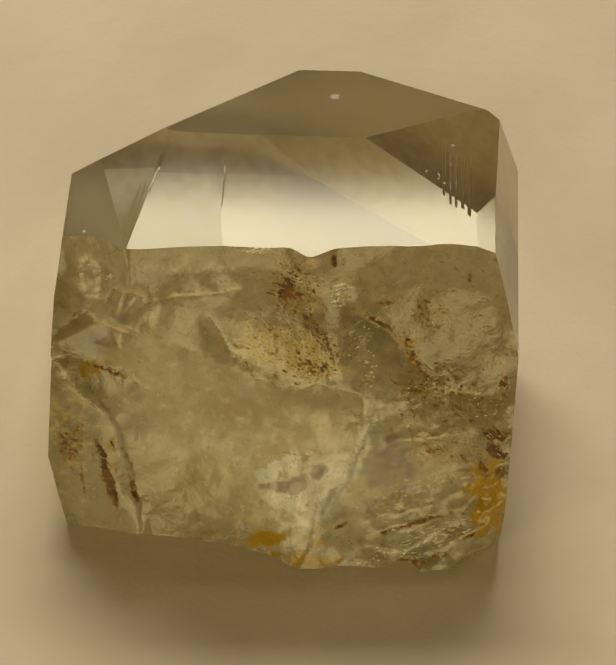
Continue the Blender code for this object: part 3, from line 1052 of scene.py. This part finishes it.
def break_masks(tree, spot):
    """How strong each kind of mark is on the break, each broken up by its own grain."""
    leaning = turned(tree, spot, FLECK_LEAN)
    coarse, fine = (grain(tree, leaning, sizes) for sizes in FLECK_SIZES)
    cloudy = even_grain(tree, spot, CLOUD_SIZE)
    masks = {}
    grains = calculate(tree, "MAXIMUM", coarse, fine)
    flecks = calculate(tree, "MULTIPLY_ADD", attribute(tree, "fleck"), FLECK_GAIN, grains)
    masks["fleck"] = rise(tree, flecks, *FLECK_THRESHOLD)
    masks["halo"] = rise(tree, flecks, *FLECK_HALO)
    uneven = calculate(tree, "MULTIPLY", fine, STAIN_GRAININESS)
    uneven = calculate(tree, "MULTIPLY_ADD", cloudy, STAIN_CLOUDINESS, uneven)
    for name, (low, high) in STAIN_THRESHOLDS.items():
        masks[name] = rise(tree, calculate(tree, "ADD", uneven, attribute(tree, name)), low, high)
    # Chipped lines with their painted lip highlights, where the clouds let them show.
    chip_lines_and_highlights = calculate(tree, "MULTIPLY", attribute(tree, "chips_and_highlights"), rise(tree, cloudy, *CHIP_BREAKS))
    dashes = grain(tree, turned(tree, spot, SPLINTER_LEAN), SPLINTER_SIZES)
    splinters = calculate(tree, "MULTIPLY_ADD", attribute(tree, "splinter"), SPLINTER_GAIN, dashes)
    masks["chips_and_highlights"] = calculate(tree, "MAXIMUM", chip_lines_and_highlights, rise(tree, splinters, *SPLINTER_THRESHOLD))
    masks["cloudy"] = cloudy
    return masks


def break_colour(tree, masks):
    """Colour of the break: pale clouds under the stains, painted highlights and painted shade, and the
    flecks.
    """
    colour = blend_colour(tree, rise(tree, masks["cloudy"], *CLOUDS), BREAK_DARK, BREAK_LIGHT)
    for name, stain in STAIN_COLOURS.items():
        colour = blend_colour(tree, masks[name], colour, stain)
    fleck = blend_colour(tree, rise(tree, masks["cloudy"], *CLOUDS), FLECK_RUST, FLECK_DARK)
    return blend_colour(tree, masks["fleck"], colour, fleck)


def break_clarity(tree, masks):
    """Share of light that the break lets through."""
    clarity = BREAK_CLARITY
    for name, stained_clarity in STAINED_CLARITY.items():
        clarity = blend(tree, masks[name], clarity, stained_clarity)
    return clarity


def growth_face_colour(tree, spot, masks, specks):
    """Colour of the growth faces: clear, with painted shade on the bevel, and cloudy where they look down.
    """
    uphill = (math.cos(BEVEL_HEADING), math.sin(BEVEL_HEADING))
    above_edge = along_direction(tree, spot, BEVEL_POINT, uphill)
    # Painted shade on the bevel, darkest along its lower edge.
    bevel_shade_amount = calculate(tree, "SUBTRACT", 1.0, rise(tree, above_edge, *BEVEL_SHADE_FADE))
    bevel_shade_amount = calculate(tree, "MULTIPLY", bevel_shade_amount, attribute(tree, "bevel_shade"))
    colour = blend_colour(tree, bevel_shade_amount, GROWTH_COLOUR, BEVEL_SHADE_COLOUR)
    clouds = rise(tree, masks["cloudy"], *CLOUDS)
    frost = blend_colour(tree, clouds, UNDERSIDE_DARK, UNDERSIDE_LIGHT)
    colour = blend_colour(tree, attribute(tree, "frosted"), colour, frost)
    return blend_colour(tree, specks, colour, PALE_COLOUR)


def growth_face_clarity(tree, specks):
    """Share of light that the growth faces let through."""
    clarity = calculate(tree, "MULTIPLY_ADD", specks, -SPECK_HAZE, 1.0)
    return blend(tree, attribute(tree, "frosted"), clarity, UNDERSIDE_CLARITY)


def topaz_roughness(tree, broken, masks):
    """Roughness of the whole crystal."""
    on_break = blend(tree, masks["fleck"], BREAK_ROUGHNESS, FLECK_ROUGHNESS)
    on_growth = blend(tree, attribute(tree, "etched"), GROWTH_ROUGHNESS, ETCHED_ROUGHNESS)
    on_growth = blend(tree, attribute(tree, "frosted"), on_growth, UNDERSIDE_ROUGHNESS)
    return blend(tree, broken, on_growth, on_break)


def layered_bumps(tree, spot, layers, detail):
    """Sum of noise layers, each given as its height and size."""
    total = 0.0
    for height, size in layers:
        total = calculate(tree, "MULTIPLY_ADD", even_grain(tree, spot, size, detail), height, total)
    return total


def topaz_relief(tree, spot, broken, grooves):
    """Fine height in millimetres: striae and grooves on growth faces, and grain on the break."""
    striae = calculate(tree, "MULTIPLY", grain(tree, spot, STRIAE_SIZE, BUMP_DETAIL), STRIAE_HEIGHT)
    on_growth = calculate(tree, "MULTIPLY_ADD", grooves, -GROOVE_DEPTH, striae)
    return blend(tree, broken, on_growth, layered_bumps(tree, spot, BREAK_BUMPS, BUMP_DETAIL))


def add_bump(tree, shader, relief):
    """Gives a shader a relief in millimetres."""
    bump = tree.nodes.new("ShaderNodeBump")
    bump.inputs["Strength"].default_value = 1.0
    bump.inputs["Distance"].default_value = MM
    tree.links.new(relief, bump.inputs["Height"])
    tree.links.new(bump.outputs["Normal"], shader.inputs["Normal"])


def new_material(name):
    """A new material, with its node tree and its main shader."""
    material = bpy.data.materials.new(name)
    material.use_nodes = True
    return material, material.node_tree, material.node_tree.nodes["Principled BSDF"]


def topaz_material():
    """Clear topaz with a hazy, stained break."""
    material, tree, shader = new_material("topaz")
    spot = place(tree)
    broken = attribute(tree, "broken")
    height = tree.nodes.new("ShaderNodeSeparateXYZ")
    tree.links.new(spot, height.inputs[0])
    on_top = rise(tree, height.outputs["Z"], *TOP_FACES_ABOVE)
    grooves, specks = growth_marks(tree, spot, on_top)
    masks = break_masks(tree, spot)

    growth_colour = growth_face_colour(tree, spot, masks, specks)
    colour = blend_colour(tree, broken, growth_colour, break_colour(tree, masks))
    clarity = blend(tree, broken, growth_face_clarity(tree, specks), break_clarity(tree, masks))
    tree.links.new(colour, shader.inputs["Base Color"])
    tree.links.new(clarity, shader.inputs["Transmission Weight"])
    tree.links.new(topaz_roughness(tree, broken, masks), shader.inputs["Roughness"])
    add_bump(tree, shader, topaz_relief(tree, spot, broken, grooves))

    shader.inputs["IOR"].default_value = INDEX_OF_REFRACTION
    absorb = tree.nodes.new("ShaderNodeVolumeAbsorption")
    absorb.inputs["Color"].default_value = ABSORPTION_COLOUR
    absorb.inputs["Density"].default_value = ABSORPTION_DENSITY
    tree.links.new(absorb.outputs["Volume"], tree.nodes["Material Output"].inputs["Volume"])
    return material


def paper_material():
    """Matt warm paper with a faint cloudiness and a fine grain."""
    material, tree, shader = new_material("paper")
    spot = place(tree)
    clouds = rise(tree, even_grain(tree, spot, PAPER_CLOUD_SIZE), *CLOUDS)
    tree.links.new(blend_colour(tree, clouds, PAPER_DARK, PAPER_LIGHT), shader.inputs["Base Color"])
    shader.inputs["Roughness"].default_value = PAPER_ROUGHNESS
    shader.inputs["Specular IOR Level"].default_value = PAPER_SPECULAR
    add_bump(tree, shader, layered_bumps(tree, spot, PAPER_BUMPS, NOISE_DETAIL))
    return material


def make_floor():
    """A wide sheet of paper."""
    body = bmesh.new()
    bmesh.ops.create_grid(body, x_segments=1, y_segments=1, size=FLOOR_SIZE / 2)
    mesh = bpy.data.meshes.new("paper_floor")
    body.to_mesh(mesh)
    body.free()
    mesh.materials.append(paper_material())
    floor = bpy.data.objects.new("paper_floor", mesh)
    bpy.context.scene.collection.objects.link(floor)
    return floor


def aim(thing, forward):
    """Turns a camera or a light to look along a direction."""
    thing.rotation_mode = "QUATERNION"
    thing.rotation_quaternion = forward.to_track_quat("-Z", "Y")
    bpy.context.scene.collection.objects.link(thing)


def make_camera():
    """The camera, at the photograph's viewing angle."""
    data = bpy.data.cameras.new("camera")
    data.lens = CAMERA_LENS
    data.sensor_width = CAMERA_SENSOR
    data.clip_start, data.clip_end = CAMERA_CLIP
    camera = bpy.data.objects.new("camera", data)
    back = Vector((0.0, -math.cos(CAMERA_ELEVATION), math.sin(CAMERA_ELEVATION)))
    camera.location = (Vector(CAMERA_TARGET) + back * CAMERA_DISTANCE) * MM
    aim(camera, -back)
    bpy.context.scene.camera = camera


def make_card(name, location, away, width, height, radiance, colour):
    """A soft light card. It shines back along the direction away from the crystal."""
    data = bpy.data.lights.new(name, "AREA")
    data.shape = "RECTANGLE"
    data.size = width * MM
    data.size_y = height * MM
    data.energy = radiance * math.pi * data.size * data.size_y
    data.color = colour
    card = bpy.data.objects.new(name, data)
    card.location = location * MM
    aim(card, -away)


def make_cards():
    """The cards behind the crystal, and the dim ones in front."""
    away = Vector((0.0, math.cos(CARD_PLANE_ELEVATION), math.sin(CARD_PLANE_ELEVATION)))
    upward = Vector((0.0, -away.z, away.y))
    for name, (across, up), width, height, radiance, colour in CARDS:
        location = away * CARD_PLANE_DISTANCE + upward * up + Vector((across, 0.0, 0.0))
        make_card(name, location, away, width, height, radiance, colour)
    for name, heading, elevation, radiance in FRONT_CARDS:
        away = leaning_normal(math.radians(90.0 - elevation), math.radians(heading))
        make_card(name, away * FRONT_DISTANCE, away, FRONT_SIZE, FRONT_SIZE, radiance, FRONT_COLOUR)


def make_room():
    """Dim warm light from all round."""
    world = bpy.data.worlds.new("room")
    world.use_nodes = True
    background = world.node_tree.nodes["Background"]
    background.inputs["Color"].default_value = ROOM_COLOUR
    background.inputs["Strength"].default_value = ROOM_RADIANCE
    bpy.context.scene.world = world


def dress():
    """Puts the fine crystal in the CAD node's place and sets the scene round it."""
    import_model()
    crystal = make_crystal(*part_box(NODE))
    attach(crystal, "root")
    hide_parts(NODE)
    make_floor()
    make_camera()
    make_cards()
    make_room()
    bpy.context.scene.view_settings.view_transform = "Standard"


dress()
